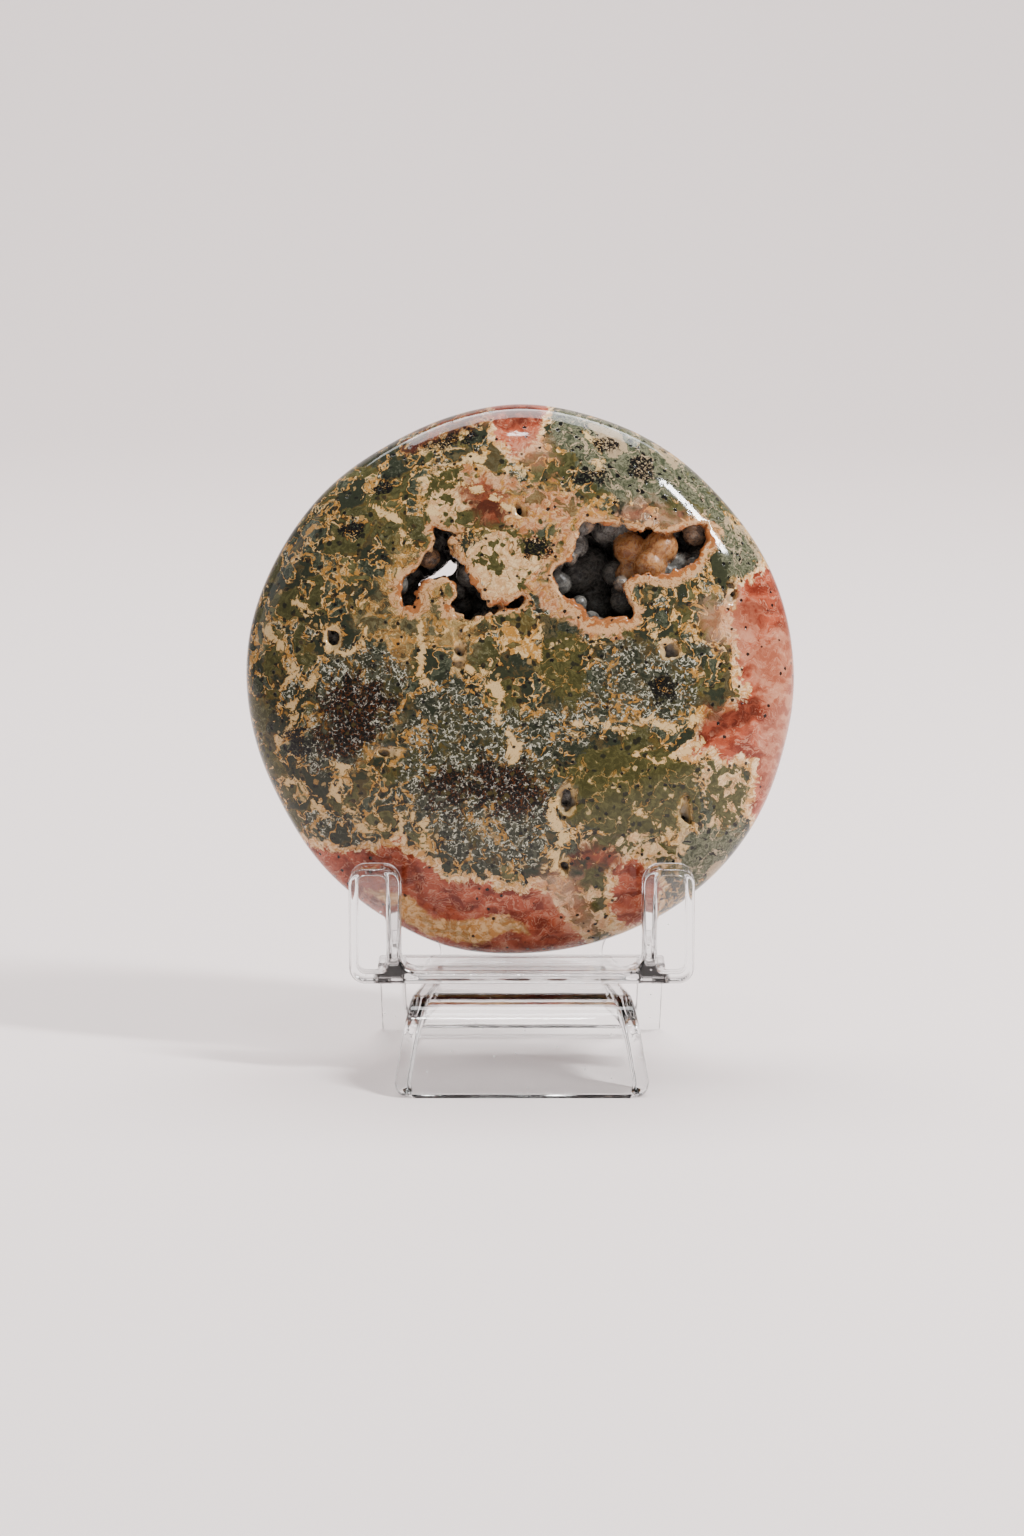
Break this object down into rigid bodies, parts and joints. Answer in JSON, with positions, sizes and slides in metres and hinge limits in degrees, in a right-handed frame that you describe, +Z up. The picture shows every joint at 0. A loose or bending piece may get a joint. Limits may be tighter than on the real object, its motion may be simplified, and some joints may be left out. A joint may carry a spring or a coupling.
{
  "type": "rhodochrosite palm stone on a clear stand",
  "caption": "Round polished palm stone of banded rhodochrosite with open hollows, standing upright on a clear two-piece easel.",
  "frame": {"origin": "under the middle of the object's box, on the surface it stands on", "axes": "+Z up, +X to the right as seen from the front, -Y out of the stone's better face"},
  "size_m": [0.0698, 0.0402, 0.0823],
  "materials": {
    "polished_stone": "polished",
    "clear_plastic": "clear, glossy"
  },
  "bodies": {
    "root": {"palm_stone": "polished_stone", "stand_cradle": "clear_plastic", "stand_foot_rest": "clear_plastic"}
  },
  "joints": []
}
